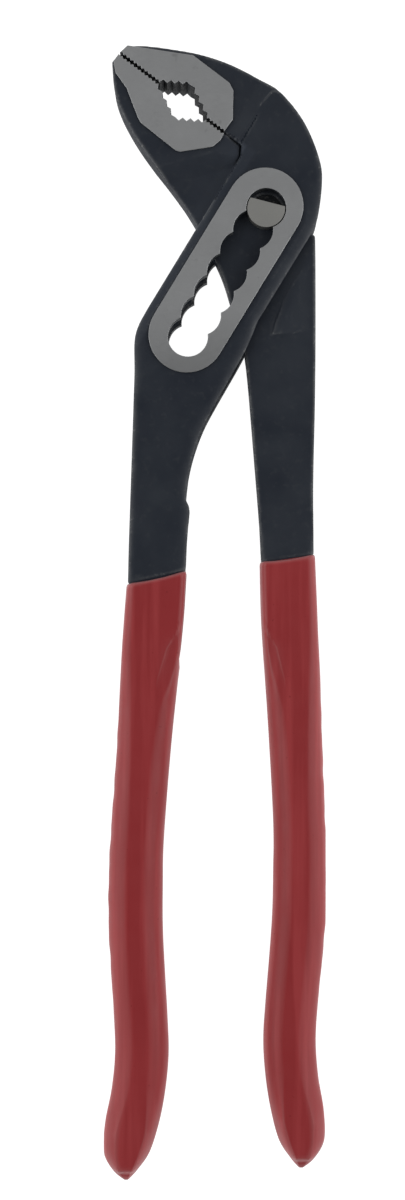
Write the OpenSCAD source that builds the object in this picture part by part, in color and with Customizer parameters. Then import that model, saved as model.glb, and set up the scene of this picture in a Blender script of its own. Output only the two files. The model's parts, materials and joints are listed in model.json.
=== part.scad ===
// Water pump pliers with a slotted box joint, lying flat on the joint's rear pads.
// X points towards the inner lever's handle, Y towards the jaws and Z out of the front face.
// The origin is on the pivot axis in its first position, in the plane of the rear pads.

/* [Box joint] */
// Thickness over the two ground joint pads
joint_t = 12; // [11:0.1:14]
// Height of a joint pad above its cheek
joint_pad_h = 0.4; // [0.2:0.1:0.8]
// Half width of a joint pad
joint_pad_r = 8.4; // [7.6:0.1:8.8]
// How far a joint pad lies to the left of the slot's centre line
joint_pad_left = 0.45; // [0:0.05:0.6]
// How far a joint pad lies up the slot
joint_pad_up = 0.3; // [0:0.05:0.5]
// Distance from the slot's centre line to the left edges of the cheeks
cheek_left = 10.9; // [10.4:0.1:11.2]
// Distance from the slot's centre line to the right edges of the cheeks
cheek_right = 11.3; // [10.8:0.1:11.8]
// How far the raised box stands out to the left of the cheeks, above the throat
box_ledge = 1.4; // [0.8:0.1:2]
// Width of the slope from the raised box down to the upper jaw
box_slope = 3.6; // [3:0.2:6]
// Thickness of the tongue that passes through the box
tongue_t = 6.2; // [5.4:0.1:6.8]
// Radius of the tongue's round end
tongue_r = 9.2; // [8.4:0.1:9.6]
// Gap between the tongue and each cheek, and between the tongue and the head
tongue_gap = 0.2; // [0.15:0.05:0.3]

/* [Slot] */
// Lean of the slot from the Y axis, in degrees
slot_lean = 31.4; // [30:0.1:33]
// Number of pivot positions
slot_positions = 7; // [5:1:7]
// Distance between neighbouring positions
slot_pitch = 5.5; // [5.2:0.05:5.6]
// Radius of each hole of the slot
slot_hole_r = 4.4; // [4.3:0.05:4.7]

/* [Pivot pin] */
// Radius of the pin's D-shaped ends
head_r = 4.15; // [3.9:0.05:4.2]
// Distance from the pivot axis to the flat of an end
head_flat = 1.4; // [1:0.05:1.7]
// Slope of that flat across the closed pliers, in degrees
head_lean = 14.6; // [10:0.2:18]
// Radius of the pin's shank in the tongue
shank_r = 3.5; // [3:0.1:3.7]
// Radial running clearance of the shank
shank_fit = 0.05; // [0.02:0.01:0.08]
// Gap at each end of the shank
shank_end_gap = 0.1; // [0.05:0.05:0.3]

/* [Jaws] */
// Thickness of the forged jaws
jaw_t = 9.2; // [8.4:0.1:10]
// Height of a jaw's ground pad above the forging
jaw_pad_h = 0.4; // [0.2:0.1:0.6]
// Length of the toothed jaw line, from the nose to the throat
jaw_len = 28.8; // [27.5:0.1:30]
// Slope of the jaw line, in degrees
jaw_lean = 37.2; // [36:0.2:38.4]
// Place of the throat, to the left of the pivot axis
throat_x = 9.3; // [9:0.1:9.6]
// Place of the throat, above the pivot axis
throat_y = 16.9; // [16.6:0.1:17.2]
// Length of the plain parting line behind the throat
parting_len = 4.7; // [4.3:0.1:5]
// Gap between the closed jaws
jaw_gap = 0.3; // [0.2:0.05:0.5]
// Height of the blunt nose on each jaw
nose_h = 2.4; // [2:0.1:2.8]
// Start of the pipe hole along the jaw line
hole_start = 10.9; // [10:0.1:11.8]
// Length of the pipe hole along the jaw line
hole_len = 13.1; // [12.2:0.1:14]
// Depth of the pipe hole in each jaw
hole_depth = 3.8; // [3.2:0.1:4.4]
// Fine teeth between the nose and the pipe hole
nose_teeth = 11; // [8:1:13]
// Fine teeth between the pipe hole and the throat
throat_teeth = 5; // [3:1:7]
// Coarse teeth on each flank of the pipe hole
hole_teeth = 4; // [3:1:6]
// Depth of a fine tooth
fine_depth = 0.4; // [0.3:0.05:0.6]
// Depth of a coarse tooth
coarse_depth = 0.7; // [0.5:0.05:1]
// Opening of the jaws in one pivot position, in degrees
jaw_opening = 44; // [40:1:45]
// Gap kept between the thick part of the lower jaw and the cheeks
swing_gap = 0.35; // [0.2:0.05:0.6]
// Width of the slope from the thick part of the lower jaw down to the tongue
jaw_slope = 4; // [2:0.2:5]

/* [Tangs] */
// Thickness of both tangs where the grips start
tang_t = 8.8; // [8:0.1:9.4]
// Width of the inner lever's tang where its grip starts
inner_tang_w = 11.8; // [11.4:0.1:12.2]
// Width of the outer lever's tang where its grip starts
outer_tang_w = 12.6; // [12.2:0.1:12.8]
// Length over which the inner lever's tang thickens towards its grip
tang_ramp = 12; // [9:0.5:13]
// Thickness over the highest edge of the inner lever's shoulder beside the box
shoulder_t = 8.4; // [7.6:0.1:9.2]

/* [Grips] */
// Length of the inner lever's grip
inner_grip_len = 135; // [128:0.5:140]
// Length of the outer lever's grip
outer_grip_len = 133.5; // [128:0.5:140]
// Thickness of a grip
grip_t = 10; // [9.4:0.1:11]
// Width of a grip
grip_w = 11.7; // [11.4:0.1:12.2]
// Coat of grip material on each edge of the steel
coat_t = 1.1; // [0.8:0.1:1.4]
// Slope of the inner grip's upper edge, in degrees
inner_dip_lean = 8; // [4:0.5:12]
// Slope of the outer grip's upper edge, in degrees
outer_dip_lean = 12.5; // [6:0.5:14]
// Distance from the pivot axis down to the middle of the inner grip's upper edge
inner_dip_drop = 76.6; // [75:0.2:80]
// Distance from the pivot axis down to the middle of the outer grip's upper edge
outer_dip_drop = 80.8; // [79:0.2:84]
// Distance from the pivot axis across to the middle of the inner grip's upper edge
inner_grip_x = 4.65; // [4.45:0.05:4.85]
// Distance from the last pivot position across to the middle of the outer grip's upper edge
outer_grip_x = 7.05; // [6.85:0.05:7.25]
// Lean of the outer grip away from the inner one, in degrees
grip_lean = 1.5; // [0.6:0.1:2]
// Outward bow of a grip at the palm
palm_bow = 2.9; // [2:0.1:3.6]
// Outward flare of a grip at its end
end_flare = 3.4; // [2.6:0.1:4.2]

/* [Hidden] */
$fn = 96;
forged_color = [0.15, 0.17, 0.2];
ground_color = [0.62, 0.62, 0.61];
grip_color = [0.62, 0.1, 0.12];
curve_steps = 6;
arc_steps = 24;
sweep_steps = 4;
cut_over = 1;
far = 70;
mid_z = joint_t / 2;
box_t = joint_t - 2 * joint_pad_h;
cavity_t = tongue_t + 2 * tongue_gap;
cavity_r = tongue_r + tongue_gap;
slot_travel = slot_pitch * (slot_positions - 1);

// Point that lies x to the right of the slot's centre line and y up the slot from the pivot axis
function slot_point(x, y) =
    [x * cos(slot_lean) + y * sin(slot_lean), y * cos(slot_lean) - x * sin(slot_lean)];

// Groove clearance beside the tang, and the swing kept free beyond the full opening, in degrees
groove_gap = 0.3;
swing_over = 6;
// Reach of the tongue's root below the last pivot position
root_drop = 15;

// Point at a distance from the pivot axis, at an angle from the X axis
function polar(r, a) = r * [cos(a), sin(a)];

// Points of a list, all moved by the same step
function moved(points, step) = [for (p = points) p + step];

// Points of a list in reverse order
function reversed(points) = [for (i = [len(points) - 1:-1:0]) points[i]];

// Point at share t of the smooth stretch from b to c, with neighbours a and d
function stretch_point(a, b, c, d, t) =
    (2 * b + (c - a) * t + (2 * a - 5 * b + 4 * c - d) * t ^ 2 + (3 * b - a - 3 * c + d) * t ^ 3) / 2;

// Smooth curve through all the points
function curve(p) = [
    for (i = [0:len(p) - 2], j = [0:curve_steps - 1])
        stretch_point(p[max(i - 1, 0)], p[i], p[i + 1], p[min(i + 2, len(p) - 1)], j / curve_steps),
    p[len(p) - 1]
];

// Arc about the pivot axis
function pivot_arc(r, a0, a1) = [for (i = [0:arc_steps]) polar(r, a0 + (a1 - a0) * i / arc_steps)];

// Pivot position at the far end of the slot
slot_end = slot_point(0, -slot_travel);

// Jaw line: t runs from the nose to the throat, w up into the upper jaw
jaw_along = [cos(jaw_lean), -sin(jaw_lean)];
jaw_up = [sin(jaw_lean), cos(jaw_lean)];
throat = [-throat_x, throat_y];
function jaw_point(t, w) = throat + (t - jaw_len) * jaw_along + w * jaw_up;
function jaw_points(marks) = [for (m = marks) jaw_point(m.x, m.y)];

// Row of n notches from a to b in jaw coordinates, each cut to the given depth
function notches(a, b, n, depth) =
    let (step = (b - a) / n, cut = depth * [-step.y, step.x] / norm(step))
    [for (i = [0:n - 1]) each [a + i * step, a + (i + 0.5) * step + cut]];

// Toothed edge of one jaw from its nose to the end of the parting line: side is 1 above, -1 below.
// The deepest point of the pipe hole lies at share apex of the hole's length.
function jaw_edge(side, apex) =
    let (
        level = side * jaw_gap / 2,
        hole_end = hole_start + hole_len,
        deep = [hole_start + apex * hole_len, side * hole_depth],
        marks = concat(
            notches([0, level], [hole_start, level], nose_teeth, side * fine_depth),
            notches([hole_start, level], deep, hole_teeth, side * coarse_depth),
            notches(deep, [hole_end, level], hole_teeth, side * coarse_depth),
            notches([hole_end, level], [jaw_len, level], throat_teeth, side * fine_depth),
            [[jaw_len, level], [jaw_len + parting_len, level]]
        )
    )
    jaw_points(marks);

upper_apex = 0.44;
lower_apex = 0.56;

// Outlines of the ground jaw pads, in jaw coordinates
upper_pad = jaw_points([
    [0, -1], [0, 2.2], [2.2, 3.4], [8.1, 6.6], [13.2, 9.4], [jaw_len - 5.6, 9.4], [jaw_len - 3.9, 8.6],
    [jaw_len - 0.1, 3.4], [jaw_len, -1]
]);
lower_pad = jaw_points([
    [0, 1], [0, -2.2], [2, -4], [5.9, -5.2], [11.9, -8.9], [13.1, -9.4], [jaw_len - 6, -9.6],
    [jaw_len - 5, -9.2], [jaw_len, -4], [jaw_len + 0.5, -1.9], [jaw_len, 1]
]);

// Middle of each grip's upper edge
inner_grip_top = [inner_grip_x, -inner_dip_drop];
outer_grip_top = [slot_end.x - outer_grip_x, -outer_dip_drop];

// Edge of a tang at its grip: side is -1 on the left, 1 on the right
function outer_tang_end(side) = outer_grip_top + side * outer_tang_w / 2 * [1, tan(outer_dip_lean)];
function inner_tang_end(side) = inner_grip_top + side * inner_tang_w / 2 * [1, tan(inner_dip_lean)];

// Outer lever, back of the head from the nose round to the right cheek edge
head_back = curve([
    jaw_point(0.4, nose_h), jaw_point(3.6, 4.9), [-21.2, 35.4], [-15, 34.3], [-8.9, 32.4], [-2.7, 29.4],
    [3.3, 25.5], [8.5, 18.9], [11.8, 10.8], [12.3, 5.4], slot_point(cheek_right - 0.6, 4.2),
    slot_point(cheek_right, 0.4)
]);

// Outer lever, inner edge of the handle below the crotch, from the end of the slot
outer_inner_edge = concat(
    curve(concat(
        [slot_point(cheek_right, 11 - slot_travel)],
        moved([[12.4, -3.4], [6.1, -14.5], [3.3, -19.9], [1.3, -25.4], [0.1, -30.5], [-0.5, -35.6]], slot_end)
    )),
    curve([slot_end + [0.4, -37.4], slot_end + [-0.2, -43.5], outer_tang_end(1)])
);

// Outer lever, left edge of the handle from the grip up to the cheeks
outer_left_edge = curve([
    outer_tang_end(-1), slot_end + [-12.5, -28], slot_end + [-11.8, -9], slot_end + [-11.6, 0.4],
    slot_point(-cheek_left, 0.6 - slot_travel)
]);

parting_end = jaw_len + parting_len;
cheek_top = 7;

// Inner lever, left edge from the nose to the grip
inner_left_edge = curve([
    jaw_point(-0.3, -nose_h), jaw_point(5.3, -8.2), jaw_point(13.5, -12.4), [-22.6, 7.2], [-17, -0.6],
    [-10.6, -12.2], [-7.7, -20.6], [-4.7, -31.4], [-2.9, -53.5], inner_tang_end(-1)
]);

// Inner lever, right edge from the grip up to the tongue's round end
inner_right_edge = curve([
    inner_tang_end(1), [10.5, -60], [10.8, -46], [11, -32], [11, -12], [10.9, -5.4]
]);
tongue_from = -26;
tongue_to = 112;

// Shoulder of the inner lever beside the right cheeks, which falls away to the right
shoulder_points = [[1.4, -27.4], [9.4, -26.6], [9.4, -10.6], [7.1, -14.3], [4, -19.7], [2, -24.9]];

// Grip stations: share of the length, share of palm_bow, share of end_flare, share of the half width
grip_stations = [
    [0, 0, 0, 1], [0.11, 0.2, 0, 1.04], [0.27, 0.6, 0, 1], [0.43, 0.96, 0, 0.98], [0.51, 1, 0, 1],
    [0.58, 0.93, 0, 1], [0.65, 0.69, 0, 0.99], [0.725, 0.38, 0, 0.98], [0.79, 0.2, 0, 0.98],
    [0.85, 0.1, 0.24, 0.985], [0.905, 0, 0.68, 0.99], [0.955, 0, 0.97, 0.85], [0.985, 0, 1.03, 0.45],
    [1, 0, 0.94, 0.1]
];
core_share = 0.9;
top_share = 0.27;
top_over = 0.1;
full_share = 0.85;
dip_blend = 16;
grip_sides = 20;
grip_square = 2.7;

// Section of a grip: place of its centre and its half width, outwards being 1 to the right or -1 to the left.
// Near the top its width settles from just over the tang's width to its own.
function grip_section(s, out, length, lean, tang_w) =
    let (
        bow = s[1] * palm_bow + s[2] * end_flare,
        down = s[0] * length,
        widened = max(0, 1 - s[0] / top_share) * (tang_w + top_over - grip_w)
    )
    [out * (bow + down * tan(lean)), -down, (s[3] * grip_w + widened) / 2];
function grip_sections(out, length, lean, tang_w) =
    curve([for (s = grip_stations) grip_section(s, out, length, lean, tang_w)]);
outer_sections = grip_sections(-1, outer_grip_len, grip_lean, outer_tang_w);
inner_sections = grip_sections(1, inner_grip_len, 0, inner_tang_w);

// One of the evenly spread directions round a flattened grip section
function squarish(a) =
    [sign(cos(a)) * abs(cos(a)) ^ (2 / grip_square), sign(sin(a)) * abs(sin(a)) ^ (2 / grip_square)];

// Ring of points round a grip section: the topmost rings follow the grip's sloping upper edge
function grip_ring(s, dip_lean) =
    let (
        tilt = tan(dip_lean) * max(0, 1 + s.y / dip_blend),
        half_t = grip_t / 2 * min(1, s.z / (full_share * grip_w / 2))
    )
    [for (i = [0:grip_sides - 1])
        let (d = squarish(360 * (i + 0.5) / grip_sides))
        [s.x + s.z * d.x, s.y + tilt * s.z * d.x, mid_z + half_t * d.y]
    ];

// Outline of the outer lever, seen from the front
module outer_outline() {
    polygon(concat(
        head_back, outer_inner_edge, outer_left_edge, [slot_point(-cheek_left, cheek_top)],
        reversed(jaw_edge(1, upper_apex))
    ));
}

// Outline of the inner lever, seen from the front
module inner_outline() {
    polygon(concat(
        inner_left_edge, inner_right_edge, pivot_arc(tongue_r, tongue_from, tongue_to),
        reversed(jaw_edge(-1, lower_apex))
    ));
}

// Plate that is centred on the middle plane
module plate(t) {
    translate([0, 0, mid_z - t / 2])
        linear_extrude(t)
            children();
}

// Long bar that is turned from the Y axis: its section's points lie across it and out from the middle plane
module long_bar(turn, section) {
    translate([0, 0, mid_z])
        rotate([90, 0, turn])
            translate([0, 0, -2 * far])
                linear_extrude(4 * far)
                    polygon(section);
}

// Section that is mirrored in the middle plane, from its upper half
function both_faces(half) = concat(half, reversed([for (p = half) [p.x, -p.y]]));

// Row of pivot holes
module slot_row() {
    t = joint_t + 2 * cut_over;
    for (i = [0:slot_positions - 1])
        translate(concat(slot_point(0, -i * slot_pitch), mid_z - t / 2))
            cylinder(r = slot_hole_r, h = t);
}

// Ground pad round the slot
module joint_pad() {
    linear_extrude(joint_t)
        rotate(-slot_lean)
            translate([-joint_pad_left, joint_pad_up]) {
                circle(r = joint_pad_r);
                translate([0, -slot_travel])
                    circle(r = joint_pad_r);
                translate([-joint_pad_r, -slot_travel])
                    square([2 * joint_pad_r, slot_travel]);
            }
}

// Space in which the tongue turns and travels between the cheeks, down into the outer handle
module cavity() {
    root_y = slot_end.y - root_drop;
    groove = [for (p = moved(inner_left_edge, slot_end)) if (p.y < root_y) p - [groove_gap, 0]];
    swing_to = tongue_from + jaw_opening + swing_over;
    plate(cavity_t)
        polygon(concat(
            [jaw_point(jaw_len, 0), jaw_point(parting_end, jaw_gap / 2)],
            reversed(pivot_arc(cavity_r, swing_to, tongue_to)),
            [polar(far, swing_to), [far, -2 * far]], reversed(groove),
            [[-far, groove[0].y], [-far, throat_y]]
        ));
}

// Bar that holds the outer lever's thickness: it falls from the box to the upper jaw
module head_bar() {
    crease = -cheek_left - box_ledge;
    long_bar(-slot_lean, both_faces([
        [far, box_t / 2], [crease, box_t / 2], [crease - box_slope, jaw_t / 2], [-far, jaw_t / 2]
    ]));
}

// Bar that holds the outer lever's thickness: it falls from the box to the grip
module tang_bar() {
    long_bar(90, both_faces([
        [far, box_t / 2], [slot_end.y - joint_pad_r, box_t / 2], [-outer_dip_drop, tang_t / 2],
        [-2 * far, tang_t / 2]
    ]));
}

// Steel inside a grip, as wide as the grip without its coat
module grip_core(top, sections, length) {
    cored = [for (s = sections) if (-s.y <= core_share * length) s];
    left = [for (s = cored) top + [s.x - s.z + coat_t, s.y]];
    right = [for (s = cored) top + [s.x + s.z - coat_t, s.y]];
    neck = [0, grip_w / 2];
    plate(tongue_t)
        polygon(concat([left[0] + neck], left, reversed(right), [right[0] + neck]));
}

module outer_core() {
    grip_core(outer_grip_top, outer_sections, outer_grip_len);
}

module inner_core() {
    grip_core(inner_grip_top, inner_sections, inner_grip_len);
}

// Soft outer skin of a grip
module grip_skin(sections, dip_lean) {
    rings = [for (s = sections) grip_ring(s, dip_lean)];
    n = grip_sides;
    last = len(rings) - 1;
    walls = [
        for (i = [0:last - 1], j = [0:n - 1])
            let (k = (j + 1) % n)
            each [[i * n + j, i * n + k, i * n + n + k], [i * n + j, i * n + n + k, i * n + n + j]]
    ];
    ends = [for (j = [1:n - 2]) each [[0, j + 1, j], [last * n, last * n + j, last * n + j + 1]]];
    polyhedron([for (r = rings) each r], concat(walls, ends));
}

module outer_lever() {
    color(forged_color)
        difference() {
            union() {
                intersection() {
                    plate(joint_t)
                        outer_outline();
                    head_bar();
                    tang_bar();
                }
                plate(jaw_t + 2 * jaw_pad_h)
                    intersection() {
                        outer_outline();
                        polygon(upper_pad);
                    }
                joint_pad();
                outer_core();
            }
            cavity();
            slot_row();
        }
}

// Room for the cheeks beside the lower jaw while it opens, as sloping strips on both faces
module cheek_room() {
    edge = -cheek_left - swing_gap;
    top = joint_t;
    slope = jaw_slope / ((jaw_t - tongue_t) / 2);
    for (i = [0:sweep_steps], face = [-1, 1])
        translate([0, 0, mid_z])
            rotate([90, 0, -slot_lean - jaw_opening * i / sweep_steps])
                translate([0, 0, -far])
                    linear_extrude(2 * far)
                        polygon([
                            [far, face * tongue_t / 2], [edge, face * tongue_t / 2],
                            [edge - slope * (top - tongue_t / 2), face * top], [far, face * top]
                        ]);
}

// Room for the ledge of the raised box beside the closed lower jaw
module ledge_room() {
    rotate(-slot_lean)
        translate([-cheek_left - box_ledge - swing_gap, cheek_top - swing_gap])
            square([far, far]);
}

module lower_jaw() {
    difference() {
        plate(jaw_t)
            difference() {
                inner_outline();
                ledge_room();
            }
        cheek_room();
    }
    plate(jaw_t + 2 * jaw_pad_h)
        intersection() {
            inner_outline();
            polygon(lower_pad);
        }
}

// Thicker end of the inner lever's tang, which rises to its grip
module tang_rise() {
    rise_top = tang_ramp - inner_dip_drop;
    intersection() {
        plate(tang_t)
            inner_outline();
        long_bar(90, both_faces([
            [rise_top, tongue_t / 2], [-inner_dip_drop, tang_t / 2], [-2 * far, tang_t / 2]
        ]));
    }
}

module shoulder() {
    intersection() {
        plate(shoulder_t)
            polygon(shoulder_points);
        long_bar(0, both_faces([
            [shoulder_points[0].x, shoulder_t / 2], [shoulder_points[1].x, tongue_t / 2]
        ]));
    }
}

module inner_lever() {
    color(forged_color)
        difference() {
            union() {
                plate(tongue_t)
                    inner_outline();
                lower_jaw();
                shoulder();
                tang_rise();
                inner_core();
            }
            translate([0, 0, mid_z - tongue_t / 2 - cut_over])
                cylinder(r = shank_r + shank_fit, h = tongue_t + 2 * cut_over);
        }
}

module pivot_pin() {
    color(ground_color)
        translate([0, 0, mid_z - tongue_t / 2 + shank_end_gap])
            cylinder(r = shank_r, h = tongue_t - 2 * shank_end_gap);
}

// D-shaped end of the pin, from the tongue to the face of the joint pad
module pin_head() {
    difference() {
        cylinder(r = head_r, h = (joint_t - tongue_t) / 2);
        rotate(-head_lean)
            translate([-head_r - cut_over, head_flat, -cut_over])
                cube([2 * (head_r + cut_over), head_r, joint_t]);
    }
}

module front_pin_head() {
    color(ground_color)
        translate([0, 0, mid_z + tongue_t / 2])
            pin_head();
}

module rear_pin_head() {
    color(ground_color)
        pin_head();
}

module outer_grip() {
    color(grip_color)
        difference() {
            translate(outer_grip_top)
                grip_skin(outer_sections, outer_dip_lean);
            outer_core();
            cavity();
        }
}

module inner_grip() {
    color(grip_color)
        difference() {
            translate(inner_grip_top)
                grip_skin(inner_sections, inner_dip_lean);
            inner_core();
        }
}

outer_lever();
inner_lever();
pivot_pin();
front_pin_head();
rear_pin_head();
outer_grip();
inner_grip();
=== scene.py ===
"""Water pump pliers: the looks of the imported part.

Both levers are shown as rounded forgings made from their CAD nodes, with crisp ground pads and teeth on them.
The grips are lofted again from their CAD nodes, and the pin's nodes stay as they are.
"""

import json
import math
from collections import namedtuple

import bmesh
import bpy
import numpy as np
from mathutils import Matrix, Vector
from mathutils.bvhtree import BVHTree

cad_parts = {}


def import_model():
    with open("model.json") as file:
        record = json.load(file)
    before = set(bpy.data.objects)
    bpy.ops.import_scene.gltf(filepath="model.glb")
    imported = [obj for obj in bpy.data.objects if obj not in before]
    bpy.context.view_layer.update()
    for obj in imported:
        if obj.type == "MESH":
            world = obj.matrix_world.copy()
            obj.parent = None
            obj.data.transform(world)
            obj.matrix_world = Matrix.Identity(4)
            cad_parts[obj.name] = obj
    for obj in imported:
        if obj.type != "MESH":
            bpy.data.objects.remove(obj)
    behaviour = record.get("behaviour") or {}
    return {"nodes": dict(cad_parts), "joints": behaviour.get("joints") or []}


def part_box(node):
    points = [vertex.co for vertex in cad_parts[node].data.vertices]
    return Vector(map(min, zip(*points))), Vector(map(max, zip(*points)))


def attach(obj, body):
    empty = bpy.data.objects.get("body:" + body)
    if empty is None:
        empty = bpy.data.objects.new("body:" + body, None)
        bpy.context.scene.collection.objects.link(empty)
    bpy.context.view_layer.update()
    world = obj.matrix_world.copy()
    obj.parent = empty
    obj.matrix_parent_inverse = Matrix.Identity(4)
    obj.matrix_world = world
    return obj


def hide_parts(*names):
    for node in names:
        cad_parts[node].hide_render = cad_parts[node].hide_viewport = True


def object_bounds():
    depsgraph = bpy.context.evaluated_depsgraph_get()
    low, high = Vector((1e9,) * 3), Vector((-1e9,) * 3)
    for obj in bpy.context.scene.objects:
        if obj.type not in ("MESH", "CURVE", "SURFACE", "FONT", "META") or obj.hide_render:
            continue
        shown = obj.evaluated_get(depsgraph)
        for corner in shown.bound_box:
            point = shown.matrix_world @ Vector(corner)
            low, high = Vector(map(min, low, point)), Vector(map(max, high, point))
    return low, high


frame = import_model()
nodes = frame["nodes"]
cad_low, cad_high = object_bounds()

# Lengths are in metres. FAR is well outside the part, and levels less than NEAR apart are the same
MM = 0.001
FAR = 1.0
NEAR = 0.01 * MM

# Levels above the middle plane, from the frame
MID_Z = (cad_low.z + cad_high.z) / 2
JOINT_PAD_LEVEL = (cad_high.z - cad_low.z) / 2
JAW_PAD_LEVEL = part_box("inner_lever")[1].z - MID_Z
PAD_HEIGHT = 0.4 * MM
CHEEK_INNER_LEVEL = 3.33 * MM
CHEEK_DEPTH = JOINT_PAD_LEVEL - CHEEK_INNER_LEVEL

# The jaw line runs from the nose to the throat, with a hole for pipes across it
THROAT = np.array([-9.3, 16.9]) * MM
JAW_LEAN = math.radians(37.2)
JAW_ALONG = np.array([math.cos(JAW_LEAN), -math.sin(JAW_LEAN)])
JAW_UP = np.array([math.sin(JAW_LEAN), math.cos(JAW_LEAN)])
JAW_LENGTH = 28.8 * MM
NOSE = THROAT - JAW_LENGTH * JAW_ALONG
HOLE_DEPTH = 3.8 * MM

# The slot runs down from the pivot axis, along the slide, and the joint's pads reach round it
slide = next(joint for joint in frame["joints"] if joint["type"] == "slide")
SLOT_ALONG = np.array(slide["axis"][:2])
SLOT_RIGHT = np.array([-SLOT_ALONG[1], SLOT_ALONG[0]])
SLOT_TRAVEL = slide["range_m"][1]
SLOT_RADIUS = 4.4 * MM
PAD_REACH = 9.2 * MM

# Where the grips start: the middle of each upper edge, and the slope of that edge
OUTER_DIP = (Vector((-24.24, -80.8)) * MM, math.radians(12.5))
INNER_DIP = (Vector((4.65, -76.6)) * MM, math.radians(8))

# Groove in the outer handle, along which the inner lever's tang passes: its half width, and the gap kept
GROOVE_HALF = 3.4 * MM
GROOVE_GAP = 0.3 * MM


# Shader nodes

def node_tree(name):
    """New material, its nodes, and its Principled shader."""
    material = bpy.data.materials.new(name)
    material.use_nodes = True
    return material, material.node_tree, material.node_tree.nodes["Principled BSDF"]


def put(tree, socket, value):
    """Sets a socket, or links another node's output to it."""
    if isinstance(value, bpy.types.NodeSocket):
        tree.links.new(value, socket)
    else:
        socket.default_value = value


def fill(tree, node, **values):
    """Sets a node's inputs and properties: a value is a number, a colour, or another node's output socket."""
    for name, value in values.items():
        key = name.replace("_", " ")
        if key in node.inputs:
            put(tree, node.inputs[key], value)
        else:
            setattr(node, name, value)


def add(tree, kind, **values):
    """New node with its inputs and properties set."""
    node = tree.nodes.new("ShaderNode" + kind)
    fill(tree, node, **values)
    return node


def noise(tree, place, scale, detail, stretch=(1, 1, 1)):
    """Noise at a place: scale is its waves per metre, and a stretch below 1 lengthens them along an axis."""
    mapped = add(tree, "Mapping", Vector=place, Scale=stretch)
    return add(tree, "TexNoise", Vector=mapped.outputs["Vector"], Scale=scale, Detail=detail).outputs["Fac"]


def ramp(tree, fac, *stops):
    """Colour ramp through stops of place and grey level or colour."""
    node = add(tree, "ValToRGB", Fac=fac)
    marks = node.color_ramp.elements
    while len(marks) < len(stops):
        marks.new(0.5)
    for mark, (place, colour) in zip(marks, stops):
        rgb = (colour,) * 3 if isinstance(colour, (int, float)) else colour
        mark.position = place
        mark.color = (*rgb, 1)
    return node.outputs["Color"]


def mix(tree, fac, a, b, how="MIX"):
    """Mix of two colours."""
    node = tree.nodes.new("ShaderNodeMix")
    node.data_type = "RGBA"
    node.blend_type = how
    put(tree, node.inputs["Factor"], fac)
    put(tree, node.inputs["A"], a if isinstance(a, bpy.types.NodeSocket) else (*a, 1))
    put(tree, node.inputs["B"], b if isinstance(b, bpy.types.NodeSocket) else (*b, 1))
    return node.outputs["Result"]


def both(tree, a, b):
    """Product of two shares."""
    return mix(tree, 1.0, a, b, "MULTIPLY")


def either(tree, a, b):
    """Larger of two shares."""
    return mix(tree, 1.0, a, b, "LIGHTEN")


def share_between(tree, value, start, end, most=1.0):
    """Share that rises from 0 where the value is at the start to the most at the end."""
    return add(tree, "MapRange", Value=value, From_Min=start, From_Max=end, To_Max=most).outputs["Result"]


def bump(tree, height, strength, distance, under=None):
    """Normal of a surface raised by a height, on top of another normal where there is one."""
    node = add(tree, "Bump", Height=height, Strength=strength, Distance=distance)
    if under is not None:
        put(tree, node.inputs["Normal"], under)
    return node.outputs["Normal"]


def shaded(colour, share):
    """Colour times a share."""
    return tuple(share * part for part in colour)


def pointiness(tree):
    """Bend of the surface: over 0.5 where it bulges, as at edges, and under 0.5 in hollows."""
    return add(tree, "NewGeometry").outputs["Pointiness"]


# Materials

# A forging's oxide at its darkest and palest, the painted light beside the box, its scuffs, its rubbed edges
# with painted highlight, and bare steel
OXIDE_DARK = (0.012, 0.0165, 0.0265)
OXIDE_PALE = (0.023, 0.0285, 0.0385)
PAINTED_LIGHT = (0.042, 0.051, 0.068)
SCUFFED = (0.03, 0.035, 0.043)
WEAR_AND_HIGHLIGHT = (0.105, 0.11, 0.116)
BARE = (0.24, 0.24, 0.235)
# Stretches on which the painted light and the rubbing with its painted highlight change: to the left of the
# slot's line, and down along it
BESIDE_BOX = (8 * MM, 18 * MM)
PAINTED_LIGHT_START = (-10 * MM, -9 * MM)
WEAR_AND_HIGHLIGHT_BELOW = (2 * MM, 5 * MM)
WEAR_AND_HIGHLIGHT_ABOVE = (-11 * MM, -12 * MM)
# Ground steel: shares of its tint that vary, one of them for both dull spots and painted shade, and the
# stretch on which painted shade darkens it towards the handles
TINT_LEAST = 0.88
TINT_MOST = 1.1
SCRATCHED = 0.75
DULL_AND_SHADED = 0.6
PAINTED_SHADE_SHARE = 0.85
PAINTED_SHADE_STRETCH = (-22 * MM, -40 * MM)
# Vinyl: the painted highlight on its edges and creases, its dark specks and its shine
PAINTED_HIGHLIGHT = (0.4, 0.13, 0.13)
SPECK = (0.15, 0.012, 0.013)
VINYL_SHINE = 0.22


def beside_box(tree, place):
    """Shares of painted light on and beside the left cheek, which lifts the shade in the recess there, and of
    the rubbing, partly painted highlight, that edges keep there.
    """
    turned = add(tree, "Mapping", Vector=place, Rotation=(0, 0, math.atan2(*SLOT_ALONG)))
    apart = add(tree, "SeparateXYZ", Vector=turned.outputs["Vector"])
    leftwards = share_between(tree, apart.outputs["X"], *BESIDE_BOX)
    down = apart.outputs["Y"]
    strip = ramp(tree, leftwards, (0, 0.0), (0.08, 0.3), (0.26, 0.3), (0.31, 1.0), (0.6, 0.3), (1, 0.05))
    painted_light = both(tree, strip, share_between(tree, down, *PAINTED_LIGHT_START))
    aside = ramp(tree, leftwards, (0.2, 1.0), (0.23, 0.3), (0.85, 0.3), (0.9, 1.0))
    below = share_between(tree, down, *WEAR_AND_HIGHLIGHT_BELOW)
    above = share_between(tree, down, *WEAR_AND_HIGHLIGHT_ABOVE)
    return painted_light, either(tree, either(tree, aside, below), above)


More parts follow.
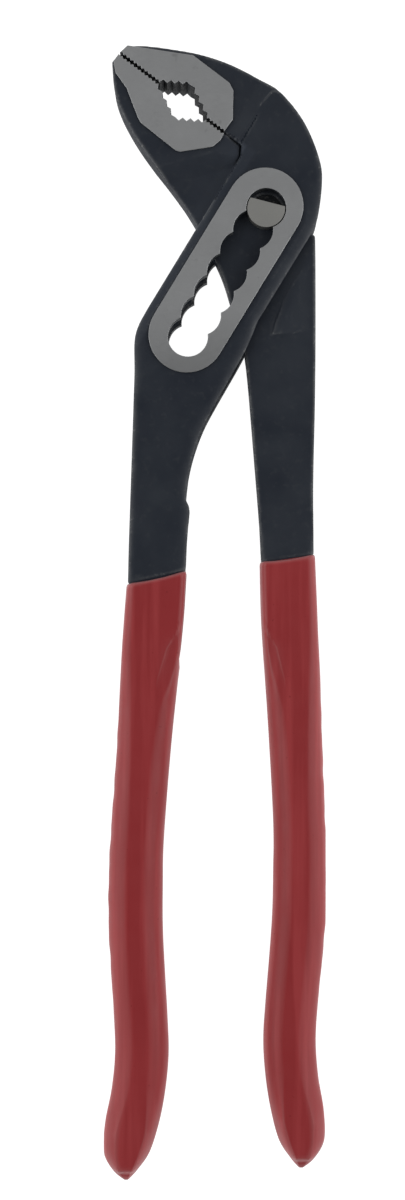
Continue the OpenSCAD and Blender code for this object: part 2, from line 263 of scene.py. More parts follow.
def forged_steel(name, share, shine):
    """Blackened forging: mottled blue-black oxide, paler on rubbed edges with painted highlight, and painted
    light beside the box. Share dims its colours, for the darker copies that paint shade.
    """
    material, tree, shader = node_tree(name)
    place = add(tree, "TexCoord").outputs["Object"]
    painted_light, kept = beside_box(tree, place)
    blotch = noise(tree, place, scale=90, detail=5)
    colour = ramp(tree, blotch, (0.3, shaded(OXIDE_DARK, share)), (0.7, shaded(OXIDE_PALE, share)))
    # Painted light: a paler tone beside the box that lifts the shade in the recess there
    colour = mix(tree, painted_light, colour, shaded(PAINTED_LIGHT, share))
    scuffs = ramp(tree, noise(tree, place, scale=700, detail=6), (0.56, 0.0), (0.8, 0.9))
    colour = mix(tree, scuffs, colour, shaded(SCUFFED, share))
    # Paler edges: real rubbing of the oxide, and a painted highlight along the edges
    edges = ramp(tree, pointiness(tree), (0.505, 0.0), (0.54, 1.0))
    patches = ramp(tree, noise(tree, place, scale=260, detail=4), (0.4, 0.3), (0.62, 1.0))
    wear_and_highlight = both(tree, both(tree, edges, patches), kept)
    colour = mix(tree, wear_and_highlight, colour, shaded(WEAR_AND_HIGHLIGHT, share))
    flecks = ramp(tree, noise(tree, place, scale=1200, detail=3), (0.6, 0.0), (0.66, 1.0))
    colour = mix(tree, both(tree, wear_and_highlight, flecks), colour, shaded(BARE, share))
    roughness = ramp(tree, noise(tree, place, scale=220, detail=4), (0.3, 0.4), (0.7, 0.56))
    grain = bump(tree, noise(tree, place, scale=1500, detail=3), strength=0.25, distance=0.06 * MM)
    waves = bump(tree, noise(tree, place, scale=130, detail=3), strength=0.35, distance=0.3 * MM, under=grain)
    fill(tree, shader, Base_Color=colour, Specular_IOR_Level=shine, Roughness=roughness, Normal=waves)
    return material


def ground_steel(name, tint, stretch):
    """Ground flat steel: faint fine scratches, with a few dull spots, and painted shade that darkens it
    towards the handles.
    """
    material, tree, shader = node_tree(name)
    place = add(tree, "TexCoord").outputs["Object"]
    cloud = noise(tree, place, scale=110, detail=5)
    colour = mix(tree, cloud, shaded(tint, TINT_LEAST), shaded(tint, TINT_MOST))
    lines = noise(tree, place, scale=3000, detail=3, stretch=stretch)
    scratches = ramp(tree, lines, (0.3, 0.0), (0.7, 0.22))
    colour = mix(tree, scratches, colour, shaded(tint, SCRATCHED))
    # Painted shade: the ground steel gets darker towards the handles
    height = add(tree, "SeparateXYZ", Vector=place).outputs["Y"]
    painted_shade = share_between(tree, height, *PAINTED_SHADE_STRETCH, most=PAINTED_SHADE_SHARE)
    colour = mix(tree, painted_shade, colour, shaded(tint, DULL_AND_SHADED))
    spots = ramp(tree, noise(tree, place, scale=420, detail=2), (0.68, 0.0), (0.78, 0.5))
    colour = mix(tree, spots, colour, shaded(tint, DULL_AND_SHADED))
    roughness = ramp(tree, lines, (0.3, 0.42), (0.7, 0.5))
    grooves = bump(tree, lines, strength=0.08, distance=0.02 * MM)
    fill(tree, shader, Base_Color=colour, Metallic=1.0, Roughness=roughness, Normal=grooves)
    return material


def dipped_vinyl(name, deep, bright, streak):
    """Dipped red vinyl: slightly uneven colour, faint runs along the grip, a painted highlight on its edges
    and creases, and a fine skin.
    """
    material, tree, shader = node_tree(name)
    place = add(tree, "TexCoord").outputs["Object"]
    colour = mix(tree, noise(tree, place, scale=45, detail=4), deep, bright)
    runs = noise(tree, place, scale=420, detail=3, stretch=(1, 0.05, 1))
    colour = mix(tree, ramp(tree, runs, (0.45, 0.0), (0.65, 0.75)), colour, streak)
    # Painted highlight: paler colour where the vinyl bulges, along its edges and creases
    colour = mix(tree, ramp(tree, pointiness(tree), (0.507, 0.0), (0.532, 0.45)), colour, PAINTED_HIGHLIGHT)
    specks = ramp(tree, noise(tree, place, scale=900, detail=2), (0.72, 0.0), (0.78, 0.5))
    colour = mix(tree, specks, colour, SPECK)
    roughness = ramp(tree, noise(tree, place, scale=180, detail=4), (0.3, 0.37), (0.7, 0.48))
    fine = bump(tree, noise(tree, place, scale=1100, detail=3), strength=0.12, distance=0.05 * MM)
    waves = bump(tree, runs, strength=0.25, distance=0.3 * MM, under=fine)
    fill(tree, shader, Base_Color=colour, Specular_IOR_Level=VINYL_SHINE, Roughness=roughness, Normal=waves)
    return material


FORGED = forged_steel("forged_steel", share=0.92, shine=0.27)
# Darker, shineless copy of the forged steel for walls: painted shade
FORGED_WALL_SHADE = forged_steel("forged_wall_shade", share=0.65, shine=0.02)
# Still darker, shineless copy of the forged steel for the pin's shank: painted shade
PIN_SHANK = forged_steel("pin_shank", share=0.35, shine=0.02)
PAD_STEEL = ground_steel("pad_steel", tint=(0.455, 0.463, 0.47), stretch=(0.2, 1, 1))
PIN_STEEL = ground_steel("pin_steel", tint=(0.43, 0.43, 0.41), stretch=(1, 1, 1))
VINYL = dipped_vinyl(
    "dipped_vinyl",
    deep=(0.25, 0.022, 0.0245),
    bright=(0.313, 0.034, 0.037),
    streak=(0.355, 0.046, 0.049),
)
VINYL_RIM = dipped_vinyl(
    "vinyl_rim",
    deep=(0.16, 0.05, 0.055),
    bright=(0.2, 0.075, 0.08),
    streak=(0.24, 0.09, 0.095),
)


# Meshes

# Distance within which a CAD node's vertices join, and the bend below which its faces are one flat face
JOIN_DISTANCE = 0.001 * MM
FLAT_BEND = math.radians(0.3)


def new_object(name, mesh, *materials):
    """New object in the scene, with its materials."""
    piece = bpy.data.objects.new(name, mesh)
    bpy.context.scene.collection.objects.link(piece)
    for material in materials:
        mesh.materials.append(material)
    return piece


def joined(node):
    """CAD node's mesh as a bmesh, with the vertices that its faces share joined and flat faces whole."""
    bm = bmesh.new()
    bm.from_mesh(nodes[node].data)
    bmesh.ops.remove_doubles(bm, verts=bm.verts, dist=JOIN_DISTANCE)
    bmesh.ops.dissolve_limit(bm, angle_limit=FLAT_BEND, verts=bm.verts, edges=bm.edges)
    return bm


def to_mesh(bm, name):
    """New mesh from a bmesh, which is freed."""
    mesh = bpy.data.meshes.new(name)
    bm.to_mesh(mesh)
    bm.free()
    return mesh


def surface_of(node):
    """CAD node's surface, which rays can meet."""
    return BVHTree.FromObject(nodes[node], bpy.context.evaluated_depsgraph_get())


def rows_of(items, name, width=3, kind=float):
    """A value of each item of a mesh, such as each vertex's place, as the rows of an array."""
    values = np.empty(len(items) * width, kind)
    items.foreach_get(name, values)
    return values.reshape(-1, width)


def set_places(mesh, places):
    """Moves a mesh's vertices to their places."""
    mesh.vertices.foreach_set("co", places.ravel())
    mesh.update()


def rising(values, start, end):
    """Share that rises from 0 at the start to 1 at the end."""
    return np.clip((values - start) / (end - start), 0, 1)


def within(values, marks):
    """Share that rises from 0 to 1 between the first two marks, and falls to 0 between the last two."""
    return np.interp(values, marks, (0, 1, 1, 0))


# Forgings

# Size of a forging's voxels
VOXEL = 0.3 * MM
# Smoothing: share by which a round moves a vertex, and rounds for all edges and for the broad rounding
STEP = 0.5
EDGE_ROUNDS = 6
BROAD_ROUNDS = 100
# Shares of those roundings that are left near the parting line and on the tangs' sharper edges
PARTING_EDGE = 0.15
TANG_EDGE = 0.4
# Stretches on which the broad rounding sets in: below the pivot axis, along x, and aside from the slot's line
INNER_TANG_BELOW = (2 * MM, 6 * MM)
OUTER_TANG_BELOW = (36 * MM, 46 * MM)
OUTER_TANG_INSIDE = (-23 * MM, -20 * MM)
CHEEK_ASIDE = (2 * MM, 5 * MM)
RIGHT_CHEEK_BELOW = (-14 * MM, -4 * MM)
LEFT_CHEEK_BELOW = (0, 6 * MM)
# Region of the parting line and of the box's left side: marks to the left of the slot's line, and up
PARTING_LEFT = np.array([9.5, 10.5, 17.5, 19]) * MM
PARTING_UP = np.array([0, 4, 19, 22]) * MM
# Height of a vertex's unit normal below which it is on a wall, and of a face's below which it gets the
# painted shade of the walls
WALL = 0.8
WALL_SHADE_SLOPE = 0.35
# The same for faces near the parting line, by lever, and the level below which they count as near it
PARTING_SHADE_SLOPES = {"outer_lever": 0.96, "inner_lever": WALL_SHADE_SLOPE}
PARTING_TOP_LEVEL = JOINT_PAD_LEVEL - PAD_HEIGHT - 0.05 * MM
# Jaw walls: how nearly they face the jaw line, how far from it they lie, and how far they draw in
FACING = 0.3
JAW_REACH = HOLE_DEPTH + 1 * MM
TEETH_DRAW = 0.75 * MM
# Jaw line's plain ends: lengths at the nose and past the throat, reach of their walls, and how they close
NOSE_PLAIN = 1.2 * MM
PARTING_PLAIN = 5 * MM
PLAIN_REACH = 1 * MM
CLOSED_BY = 0.2 * MM
CLOSED_GAP = 0.04 * MM
# Slot walls: how far from the slot's line they lie, and how far they draw in under the joint's pads
SLOT_REACH = SLOT_RADIUS + 0.9 * MM
SLOT_DRAW = 0.4 * MM
# Low ridge on the box, which turns into a groove towards the parting: places, heights and half width
BOX_RIDGE = np.array([
    [3.4, 25.9, 0.13],
    [1.2, 25.6, 0.13],
    [-1.3, 22.8, 0.1],
    [-2.4, 20.1, -0.1],
    [-5.5, 15, -0.16],
    [-6, 12, -0.1],
]) * MM
RIDGE_REACH = 0.55 * MM
# Filled corner of the lower jaw: places to the left of the slot's line and along it, and the face's level
CORNER = np.array([
    [16.5, -9.35, 4.6],
    [12.5, -8.95, 4.6],
    [11.65, -8.05, 4.6],
    [11.08, -7.05, 4.5],
    [11.1, -4.9, 3.3],
    [15.5, -5.2, 4.6],
]) * MM
# Inner tang's left edge: how far it is drawn in, and the stretches on which that sets in, down and leftwards
TANG_SLIM = 0.5 * MM
SLIM_BELOW = (33 * MM, 77 * MM)
SLIM_LEFT = (-10.4 * MM, 1.5 * MM)
# Tang's end in its grip, by distance below the grip's edge: how far it sinks, and how much narrower it gets
SINK_DEPTH = 3 * MM
SINK_MARKS = np.array([-8, -2, 4, 12]) * MM
TUCK_START = (-0.1 * MM, 0.4 * MM)
TUCK_END = 10 * MM
TUCK_WIDTH = 0.08
TUCK_THICKNESS = 0.3


def smoothed(places, edges, share, rounds, axes=(0, 1, 2)):
    """Places moved towards the mean of their neighbours along the axes, each by its own share."""
    ends = np.concatenate([edges, edges[:, ::-1]])
    count = np.bincount(ends[:, 0], minlength=len(places))
    places = places.copy()
    for _ in range(rounds):
        for axis in axes:
            mean = np.bincount(ends[:, 0], places[ends[:, 1], axis], len(places)) / count
            places[:, axis] += share * (mean - places[:, axis])
    return places


def slot_distance(places):
    """Distance from the slot's centre line."""
    along = np.clip(places[:, :2] @ SLOT_ALONG, 0, SLOT_TRAVEL)
    return np.linalg.norm(places[:, :2] - along[:, None] * SLOT_ALONG, axis=1)


def slot_across(places):
    """Distance to the right of the slot's centre line."""
    return places[:, :2] @ SLOT_RIGHT


def near_parting(places):
    """Share of nearness to the parting line and to the left side of the box."""
    return within(-slot_across(places), PARTING_LEFT) * within(places[:, 1], PARTING_UP)


def broad_edges(node, places):
    """Share of the broad rounding: whole inside the outer tang and on the cheeks, less on other edges."""
    x, y, z = places.T
    outside = np.abs(z - MID_Z) > GROOVE_HALF
    if node == "inner_lever":
        return TANG_EDGE * outside * rising(-y, *INNER_TANG_BELOW)
    tang = rising(-y, *OUTER_TANG_BELOW)
    tang_edges = np.maximum(rising(x, *OUTER_TANG_INSIDE), TANG_EDGE)
    across = slot_across(places)
    right_cheek = rising(across, *CHEEK_ASIDE) * rising(-y, *RIGHT_CHEEK_BELOW)
    left_cheek = rising(-across, *CHEEK_ASIDE) * rising(-y, *LEFT_CHEEK_BELOW)
    cheeks = (slot_distance(places) > PAD_REACH) * np.maximum(right_cheek, left_cheek)
    return outside * (tang * tang_edges + (1 - tang) * cheeks)


def without_pads(node):
    """CAD node as a bmesh, with its ground pads lowered to the forging's faces."""
    bm = joined(node)
    for v in bm.verts:
        side = 1 if v.co.z > MID_Z else -1
        level = side * (v.co.z - MID_Z)
        for pad_level in (JOINT_PAD_LEVEL, JAW_PAD_LEVEL):
            if abs(level - pad_level) < NEAR:
                v.co.z = MID_Z + side * (pad_level - PAD_HEIGHT)
    return bm


def fill_corner(bm):
    """Adds the filled corner of the lower jaw, which stays clear of the cheek while the jaws open."""
    corners = []
    for left, down, level in CORNER:
        x, y = down * SLOT_ALONG - left * SLOT_RIGHT
        corners += [bm.verts.new((x, y, MID_Z + level)), bm.verts.new((x, y, MID_Z - level))]
    bmesh.ops.convex_hull(bm, input=corners)


def in_voxels(bm, name):
    """Mesh of even small faces over a bmesh, which is freed."""
    rough = new_object("rough_" + name, to_mesh(bm, name))
    remesh = rough.modifiers.new("voxels", "REMESH")
    remesh.mode = "VOXEL"
    remesh.voxel_size = VOXEL
    graph = bpy.context.evaluated_depsgraph_get()
    mesh = bpy.data.meshes.new_from_object(rough.evaluated_get(graph))
    bpy.data.objects.remove(rough)
    return mesh


def rounded(node, mesh):
    """Places of a forging's vertices once its edges are rounded."""
    places = rows_of(mesh.vertices, "co")
    edges = rows_of(mesh.edges, "vertices", 2, np.int64)
    soft = 1 - (1 - PARTING_EDGE) * near_parting(places)
    places = smoothed(places, edges, STEP * soft, EDGE_ROUNDS)
    return smoothed(places, edges, STEP * broad_edges(node, places), BROAD_ROUNDS, axes=(2,))


def slim_tang(places):
    """Draws in the inner tang's left edge, the more the nearer to its grip."""
    x, y, _ = places.T
    places[:, 0] += TANG_SLIM * rising(-y, *SLIM_BELOW) * rising(-x, *SLIM_LEFT)


def into_grip(places, dip):
    """Draws a tang's end down into its grip, a little narrower than the grip's edge."""
    top, lean = dip
    below = top.y + (places[:, 0] - top.x) * math.tan(lean) - places[:, 1]
    sink = SINK_DEPTH * within(below, SINK_MARKS)
    places[:, 1] -= sink
    inside = rising(below + sink, *TUCK_START) * (below < TUCK_END)
    places[:, 0] -= TUCK_WIDTH * inside * (places[:, 0] - top.x)
    level = places[:, 2] - MID_Z
    places[:, 2] -= TUCK_THICKNESS * inside * np.sign(level) * np.maximum(np.abs(level) - GROOVE_HALF, 0)


def draw_in_jaw(places, normals):
    """Draws a forging's jaw in behind its pads' teeth, and nearly closes the plain ends of the jaw line."""
    from_nose = places[:, :2] - NOSE
    along, above = from_nose @ JAW_ALONG, from_nose @ JAW_UP
    side = np.sign(above)
    facing = (np.abs(normals[:, 2]) < WALL) & (side * (normals[:, :2] @ JAW_UP) < -FACING)
    toothed = facing & (np.abs(above) < JAW_REACH) & (along > NOSE_PLAIN) & (along < JAW_LENGTH)
    places[toothed, :2] += TEETH_DRAW * side[toothed, None] * JAW_UP
    plain = (along <= NOSE_PLAIN) | (along >= JAW_LENGTH) & (along < JAW_LENGTH + PARTING_PLAIN)
    closing = facing & plain & (np.abs(above) < PLAIN_REACH)
    step = side * np.clip(np.abs(above) - CLOSED_GAP, 0, CLOSED_BY)
    places[closing, :2] -= step[closing, None] * JAW_UP


def draw_in_slot(places, normals):
    """Draws the walls of the slot in under the joint's pads."""
    in_cheek = np.abs(places[:, 2] - MID_Z) > CHEEK_INNER_LEVEL
    slotted = (slot_distance(places) < SLOT_REACH) & in_cheek & (np.abs(normals[:, 2]) < WALL)
    places[slotted] -= SLOT_DRAW * normals[slotted]


def raise_ridge(places, normals):
    """Raises the low ridge on both faces of the outer lever."""
    nearest = np.full(len(places), np.inf)
    height = np.zeros(len(places))
    for start, end in zip(BOX_RIDGE[:-1], BOX_RIDGE[1:]):
        run = (end - start)[:2]
        share = np.clip((places[:, :2] - start[:2]) @ run / (run @ run), 0, 1)
        apart = np.linalg.norm(places[:, :2] - start[:2] - share[:, None] * run, axis=1)
        height = np.where(apart < nearest, start[2] + share * (end[2] - start[2]), height)
        nearest = np.minimum(nearest, apart)
    rise = height * rising(-nearest, -RIDGE_REACH, 0)
    flat = np.abs(normals[:, 2]) > WALL
    places[flat, 2] += np.sign(normals[flat, 2]) * rise[flat]


def paint_wall_shade(node, mesh):
    """Gives a forging's walls a darker, shineless copy of its steel as painted shade, which takes in gentler
    slopes too near the parting line.
    """
    normals = rows_of(mesh.polygons, "normal")
    centres = rows_of(mesh.polygons, "center")
    parting = (near_parting(centres) > 0.5) & (np.abs(centres[:, 2] - MID_Z) < PARTING_TOP_LEVEL)
    walls = np.abs(normals[:, 2]) < np.where(parting, PARTING_SHADE_SLOPES[node], WALL_SHADE_SLOPE)
    mesh.polygons.foreach_set("material_index", walls.astype(np.int32))


def forging(node, body, dip):
    """Forging with soft edges: the CAD node without its pads, with some walls drawn in under the pads."""
    bm = without_pads(node)
    if node == "inner_lever":
        fill_corner(bm)
    mesh = in_voxels(bm, node)
    places = rounded(node, mesh)
    if node == "inner_lever":
        slim_tang(places)
    into_grip(places, dip)
    set_places(mesh, places)
    normals = rows_of(mesh.vertex_normals, "vector")
    draw_in_jaw(places, normals)
    if node == "outer_lever":
        draw_in_slot(places, normals)
        raise_ridge(places, normals)
    set_places(mesh, places)
    piece = new_object(node + "_forging", mesh, FORGED, FORGED_WALL_SHADE)
    mesh.shade_smooth()
    paint_wall_shade(node, mesh)
    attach(piece, body)
    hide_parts(node)


# Pads and pin

# Crisp edges: their bevels' widths and steps, and how far an edge bends to get one
PAD_BEVEL = 0.06 * MM
PIN_BEVEL = 0.12 * MM
BEVEL_STEPS = 2
PAD_RIM_BEND = 1.0
PIN_RIM_BEND = math.radians(40)
# Height of a face's unit normal above which it is level, and above which it is ground and not a wall
LEVEL_FACE = 0.99
GROUND_FACE = 0.5


def pad(name, node, body, level, depth, side):
    """Ground pad with crisp edges, from the CAD node's flat face at that level: its walls get the forgings'
    painted wall shade.
    """
    bm = joined(node)
    z = MID_Z + side * level

    def on_top(part):
        return all(abs(v.co.z - z) < NEAR for v in part.verts)

    other = [f for f in bm.faces if f.normal.z * side < LEVEL_FACE or not on_top(f)]
    bmesh.ops.delete(bm, geom=other, context="FACES")
    walls = bmesh.ops.extrude_face_region(bm, geom=list(bm.faces))["geom"]
    sunk = [part for part in walls if isinstance(part, bmesh.types.BMVert)]
    bmesh.ops.translate(bm, verts=sunk, vec=(0, 0, -side * depth))
    bmesh.ops.recalc_face_normals(bm, faces=bm.faces)
    rim = [e for e in bm.edges if on_top(e) and abs(e.calc_face_angle(0)) > PAD_RIM_BEND]
    bmesh.ops.bevel(bm, geom=rim, offset=PAD_BEVEL, segments=BEVEL_STEPS, affect="EDGES", profile=0.5)
    # Walls get the darker copy of the forged steel: painted shade
    for f in bm.faces:
        f.material_index = 0 if f.normal.z * side > GROUND_FACE else 1
    piece = new_object(name, to_mesh(bm, name), PAD_STEEL, FORGED_WALL_SHADE)
    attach(piece, body)


def pin(node, steel):
    """Gives one of the pin's CAD nodes its steel and broken edges."""
    nodes[node].data.materials.clear()
    nodes[node].data.materials.append(steel)
    broken_edge = nodes[node].modifiers.new("broken_edge", "BEVEL")
    broken_edge.width = PIN_BEVEL
    broken_edge.segments = BEVEL_STEPS
    broken_edge.limit_method = "ANGLE"
    broken_edge.angle_limit = PIN_RIM_BEND


# Grips

# Grip sections, by share of the length: the flat front's share of the half width outwards and inwards, and
# the power of the rounded edges beside that flat
FLAT_OUTWARDS = ((0, 0.7), (0.1, 0.64), (0.4, 0.28), (0.84, 0.28), (0.92, 0.52), (1, 0.35))
FLAT_INWARDS = ((0, 0.76), (0.12, 0.76), (0.2, 0.45), (0.3, 0.28), (0.84, 0.26), (0.92, 0.6), (1, 0.45))
EDGE_POWER = ((0, 2.6), (0.12, 2.6), (0.2, 2), (0.3, 1.75), (0.84, 1.75), (0.92, 1.3), (1, 1.3))
# Crease: its place, the slope of the facet beside it on the inward side, and the height of the ridge along it
CREASE = ((0.105, 1), (0.147, 0.52), (0.2, 0.3), (0.3, 0.27))
FACET_SLOPE = ((0.1, 0.3), (0.18, 0.3), (0.26, 0))
CREASE_RIDGE = ((0.09, 0), (0.11, 0.045), (0.16, 0.04), (0.22, 0))
# That ridge's half width, how far inside the flat it stays, and how much higher the outer grip's crease is
RIDGE_HALF = 0.07
RIDGE_INSET = 1.2 * RIDGE_HALF
OUTER_CREASE_LIFT = 0.03
# Share of the length from which a grip's tip is fuller than its CAD node, and how full
FULL_TIP = 0.85
TIP_POWER = 3
# Drip at the tip: distance from the end against its share of the thickness
DRIP = ((1.6 * MM, 0.62), (2.6 * MM, 1))
# Power of the CAD grips' sections, and the share of both half sizes at which they turn through 45 degrees
CAD_POWER = 2.7
DIAGONAL = 0.5 ** (1 / CAD_POWER)
# Top of a CAD grip: how far down its middle is sought, the share of its half thickness and the clearance at
# which a ray from above meets its edge, and how far below that edge its first section is taken
MIDDLE_DROP = 5 * MM
TOP_LEVEL = 0.95
TOP_CLEAR = 1 * MM
TOP_INSET = 0.05 * MM
# Points along a section's arcs and flats, and the rings: distances below the upper edge, and from the tip
ARC_POINTS = 14
FLAT_POINTS = 5
RING_STEP = 0.8 * MM
RINGS_START = 1.2 * MM
RINGS_END = 3 * MM
TIP_RINGS = np.array([2.7, 2.4, 2.1, 1.8, 1.55, 1.3, 0.9, 0.55, 0.3, 0.12, 0.03]) * MM
# Rim of a grip: distance below its edge, and how far it draws in there
RIM = np.array([[0, 0.8], [0, 0.4], [0.12, 0.18], [0.35, 0.05], [0.8, 0]]) * MM
RIM_RINGS = 3
# Upper edge: how far down its slope fades out, and how far it sags in the middle
DIP_BLEND = 16 * MM
DIP_SAG = 0.4 * MM
# Dents along the outward edge: depth, how narrow, marks by share of the length, and waves (size, run, start)
DENT_DEPTH = 0.16 * MM
DENT_POWER = 3
DENT_MARKS = (0.18, 0.3, 0.62, 0.74)
DENT_MEAN = 0.5
DENT_WAVES = ((0.3, 1.45 * MM, 0), (0.2, 0.83 * MM, 1))
# Thicker coat, in mm by share of the length: on the outward side and on the inward side
OUTER_COAT = (
    ((0, 0.2), (0.45, 0.2), (0.55, 0.08), (1, 0.08)),
    ((0, 0.66), (0.06, 0.58), (0.12, 0.34), (0.17, 0.2), (0.5, 0.24), (0.65, 0.34), (0.9, 0.3), (1, 0)),
)
INNER_COAT = (
    ((0, 0.3), (0.12, 0.16), (0.2, 0.3), (0.42, 0.12), (0.54, 0.12), (0.62, 0.33), (0.75, 0.16), (1, 0.1)),
    ((0, 0), (1, 0)),
)
# Inner lever at rest, from which the place of its tang at the far end of the slide follows
PASSING_TANG = surface_of("inner_lever")

# A grip's section: its drop below the upper edge, also as a share of the length, its tilt and its half sizes
Section = namedtuple("Section", "drop share y tilt near_top centre half_width half_thickness")


def at_share(share, stops):
    """Value at a share of the length, between stops."""
    return np.interp(share, *zip(*stops))


def half_section(share, crease_share):
    """Front half of a grip's section, from outward to inward edge, in half widths and half thicknesses."""
    flat_out, flat_in, power = (at_share(share, stops) for stops in (FLAT_OUTWARDS, FLAT_INWARDS, EDGE_POWER))
    crease, slope, ridge = (at_share(crease_share, stops) for stops in (CREASE, FACET_SLOPE, CREASE_RIDGE))
    turn = np.linspace(0, np.pi / 2, ARC_POINTS)
    fall = np.cos(turn) ** (2 / power)
    rise = np.sin(turn) ** (2 / power)
    outward_edge = flat_out + (1 - flat_out) * fall
    inward_edge = -flat_in - (1 - flat_in) * fall[::-1]
    bend = min(crease, flat_in - RIDGE_INSET)
    before = np.linspace(flat_out, RIDGE_HALF - bend, FLAT_POINTS)[1:]
    after = np.linspace(-RIDGE_HALF - bend, -flat_in, FLAT_POINTS)[:-1]
    flat = np.concatenate([before, [-bend], after])
    across = np.concatenate([outward_edge, flat, inward_edge])
    front = np.concatenate([rise, np.ones(len(flat)), rise[::-1]])
    front = np.minimum(front, 1 - slope * np.maximum(0, -across - crease))
    return across, front + ridge * np.maximum(0, 1 - np.abs(across + crease) / RIDGE_HALF)


def ring_drops(length):
    """Distances of a grip's rings below its upper edge, each with how far the rim draws in there."""
    along = np.linspace(RINGS_START, length - RINGS_END, round(length / RING_STEP))
    return [*RIM, *((drop, 0) for drop in (*along, *(length - TIP_RINGS)))]


def grip_sections(node, lean):
    """Sections of a CAD grip, from its leaning upper edge down to its tip."""
    surface = surface_of(node)
    low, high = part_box(node)
    full = (high.z - low.z) / 2

    def edges(y, tilt, middle, level):
        """Left and right edges at a level above the middle plane."""
        start = Vector((middle, y, MID_Z + level))
        rays = [FAR * Vector((side, side * tilt, 0)) for side in (-1, 1)]
        return [surface.ray_cast(start + ray, -ray)[0] for ray in rays]

    left, right = edges(high.y - MIDDLE_DROP, 0, 0, DIAGONAL * full)
    middle = (left.x + right.x) / 2
    top_y = surface.ray_cast((middle, high.y + TOP_CLEAR, MID_Z + TOP_LEVEL * full), (0, -1, 0))[0].y
    length = top_y - low.y
    for drop, draw in ring_drops(length):
        share = drop / length
        near_top = max(0, 1 - drop / DIP_BLEND)
        tilt = math.tan(lean) * near_top
        y = top_y - max(drop, TOP_INSET)
        front = surface.ray_cast((middle, y, FAR), (0, 0, -1))[0].z - MID_Z
        left, right = edges(y, tilt, middle, DIAGONAL * front)
        centre = (left + right) / 2
        middle = centre.x
        half_width = (right.x - left.x) / 2 / DIAGONAL - draw
        half_thickness = front - draw
        if share > FULL_TIP:
            fullness = 1 - (1 - half_thickness / full) ** TIP_POWER
            half_thickness = full * fullness * at_share(length - drop, DRIP)
        yield Section(drop, share, y, tilt, near_top, centre, half_width, half_thickness)


def dent(section):
    """Depth of the dents along a grip's outward edge."""
    waves = sum(size * math.sin(section.drop / run + start) for size, run, start in DENT_WAVES)
    return DENT_DEPTH * within(section.share, DENT_MARKS) * (DENT_MEAN + waves)


def groove_reach(section):
    """Reach of the outer grip in its groove, clear of the inner tang at the far end of the slide."""
    last_x, last_y = SLOT_TRAVEL * SLOT_ALONG
    passing = PASSING_TANG.ray_cast((-FAR, section.y - last_y, MID_Z), (1, 0, 0))[0]
    return section.centre.x - (passing.x + last_x - GROOVE_GAP)


def ring(section, out, coat, crease_lift):
    """Points round a grip at a section. The grip on the left has the groove."""
    across, front = half_section(section.share, section.share + crease_lift)
    outward, inward = np.clip(across, 0, 1), np.clip(across, -1, 0)
    thick_out, thick_in = (at_share(section.share, stops) * MM for stops in coat)
    reach = across * section.half_width - dent(section) * outward ** DENT_POWER
    reach += thick_out * outward + thick_in * inward
    level = front * section.half_thickness
    if out < 0:
        reach = np.where(level < GROOVE_HALF, np.maximum(reach, groove_reach(section)), reach)
    x = np.clip(section.centre.x + out * reach, cad_low.x, cad_high.x)
    sag = DIP_SAG * section.near_top * (1 - np.clip(across, -1, 1) ** 2)
    y = section.centre.y + section.tilt * (x - section.centre.x) - sag
    front_half = list(zip(x, y, MID_Z + level))
    rear_half = list(zip(x, y, MID_Z - level))
    return front_half + rear_half[-2:0:-1]


def skin(name, rings):
    """Closed smooth mesh over rings of points, whose first faces are those between the first rings."""
    bm = bmesh.new()
    rows = [[bm.verts.new(point) for point in points] for points in rings]
    for row, below in zip(rows, rows[1:]):
        for corners in zip(row, row[1:] + row[:1], below[1:] + below[:1], below):
            bm.faces.new(corners)
    bm.faces.new(rows[0])
    bm.faces.new(rows[-1])
    bmesh.ops.recalc_face_normals(bm, faces=bm.faces)
    mesh = to_mesh(bm, name)
    mesh.shade_smooth()
    return mesh


def grip(node, body, out, dip, coat, crease_lift):
    """Dipped grip lofted along its CAD node: out is the outward side, 1 to the right and -1 to the left."""
    _, lean = dip
    rings = [ring(section, out, coat, crease_lift) for section in grip_sections(node, lean)]
    mesh = skin(node + "_skin", rings)
    piece = new_object(node + "_skin", mesh, VINYL, VINYL_RIM)
    for face in mesh.polygons[:RIM_RINGS * len(rings[0])]:
        face.material_index = 1
    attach(piece, body)
    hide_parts(node)


# Stage

# Floor: its size, its gap below the part, and its pale look
FLOOR_SIZE = 40
FLOOR_GAP = 0.1 * MM
FLOOR_GREY = (0.25, 0.25, 0.25, 1)
FLOOR_ROUGHNESS = 0.9
WHITE = (1, 1, 1, 1)
# Room light: where it is dimmest, its brightness from the sides to there, and its strength
DIMMEST = Vector((0, -0.3, 1)).normalized()
ROOM = ((0.0, 0.9), (0.5, 0.8), (0.8, 0.35), (1.0, 0.12))
ROOM_STRENGTH = 0.8
# Soft lamps: how far aside and how high they stand, their width and length, and their power
LAMP_ASIDE = 0.6
LAMP_HEIGHT = 0.25
LAMP_SIZE = (0.4, 1.0)
LAMP_POWER = 2.5
# Camera over the front face: the photograph's scale at the forgings' front, and the pixel straight below it
FRAME_WIDTH, FRAME_HEIGHT = 405, 1200
PIVOT_PIXEL = (265.9, 211)
FOOT_PIXEL = (211, 684)
PIXEL_SIZE = 0.2207 * MM
SCALE_LEVEL = 9 * MM
CAMERA_HEIGHT = 487 * MM
SENSOR_WIDTH = 36
NEAREST_SEEN = 10 * MM


def floor():
    """Plain pale floor under the pliers."""
    bpy.ops.mesh.primitive_plane_add(size=FLOOR_SIZE, location=(0, 0, cad_low.z - FLOOR_GAP))
    plane = bpy.context.object
    plane.name = "floor"
    material, tree, shader = node_tree("pale_floor")
    fill(tree, shader, Base_Color=FLOOR_GREY, Roughness=FLOOR_ROUGHNESS)
    fill(tree, shader, Emission_Color=WHITE, Emission_Strength=1.0)
    plane.data.materials.append(material)


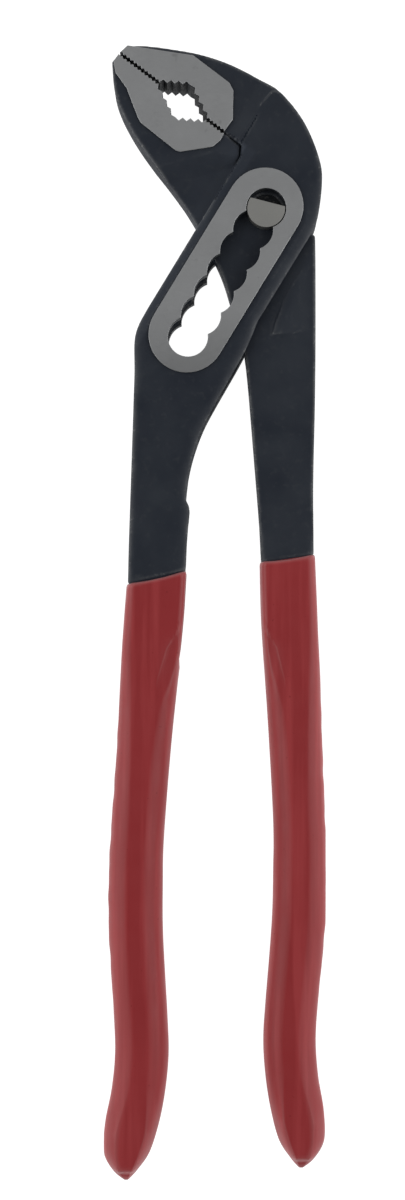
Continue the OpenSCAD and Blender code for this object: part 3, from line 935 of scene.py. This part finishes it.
def world():
    """Soft room light, bright near the horizon and dim overhead, dimmest a little towards the grips."""
    studio = bpy.data.worlds.new("studio")
    studio.use_nodes = True
    tree = studio.node_tree
    overhead = add(tree, "VectorMath", operation="DOT_PRODUCT")
    put(tree, overhead.inputs[0], add(tree, "TexCoord").outputs["Generated"])
    put(tree, overhead.inputs[1], DIMMEST)
    light = ramp(tree, overhead.outputs["Value"], *ROOM)
    fill(tree, tree.nodes["Background"], Color=light, Strength=ROOM_STRENGTH)
    bpy.context.scene.world = studio


def softbox(name, side):
    """Large soft lamp beside the pliers that points at their middle."""
    middle = (cad_low + cad_high) / 2
    place = Vector((middle.x + side * LAMP_ASIDE, middle.y, LAMP_HEIGHT))
    lamp = bpy.data.lights.new(name, "AREA")
    lamp.shape = "RECTANGLE"
    lamp.size, lamp.size_y = LAMP_SIZE
    lamp.energy = LAMP_POWER
    box = bpy.data.objects.new(name, lamp)
    box.location = place
    box.rotation_euler = (middle - place).to_track_quat("-Z", "Y").to_euler()
    bpy.context.scene.collection.objects.link(box)


def camera():
    """Camera that looks straight down, shifted so that its foot falls on FOOT_PIXEL."""
    lens = bpy.data.cameras.new("camera")
    lens.sensor_width = SENSOR_WIDTH
    lens.lens = SENSOR_WIDTH * (CAMERA_HEIGHT - SCALE_LEVEL) / (FRAME_HEIGHT * PIXEL_SIZE)
    lens.shift_x = (FRAME_WIDTH / 2 - FOOT_PIXEL[0]) / FRAME_HEIGHT
    lens.shift_y = (FOOT_PIXEL[1] - FRAME_HEIGHT / 2) / FRAME_HEIGHT
    lens.clip_start = NEAREST_SEEN
    eye = bpy.data.objects.new("camera", lens)
    eye.location.x = (FOOT_PIXEL[0] - PIVOT_PIXEL[0]) * PIXEL_SIZE
    eye.location.y = (PIVOT_PIXEL[1] - FOOT_PIXEL[1]) * PIXEL_SIZE
    eye.location.z = CAMERA_HEIGHT
    bpy.context.scene.collection.objects.link(eye)
    bpy.context.scene.camera = eye


# The pieces, and then the stage round them

forging("outer_lever", "outer_arm", OUTER_DIP)
forging("inner_lever", "inner_arm", INNER_DIP)
for side, face in ((1, "front"), (-1, "rear")):
    pad(face + "_joint_pad", "outer_lever", "outer_arm", JOINT_PAD_LEVEL, CHEEK_DEPTH, side)
    pad(face + "_upper_jaw_pad", "outer_lever", "outer_arm", JAW_PAD_LEVEL, JAW_PAD_LEVEL, side)
    pad(face + "_lower_jaw_pad", "inner_lever", "inner_arm", JAW_PAD_LEVEL, JAW_PAD_LEVEL, side)
pin("pivot_pin", PIN_SHANK)
pin("front_pin_head", PIN_STEEL)
pin("rear_pin_head", PIN_STEEL)
grip("outer_grip", "outer_arm", -1, OUTER_DIP, OUTER_COAT, OUTER_CREASE_LIFT)
grip("inner_grip", "inner_arm", 1, INNER_DIP, INNER_COAT, 0)

floor()
world()
softbox("left_softbox", -1)
softbox("right_softbox", 1)
camera()
bpy.context.scene.view_settings.view_transform = "Standard"
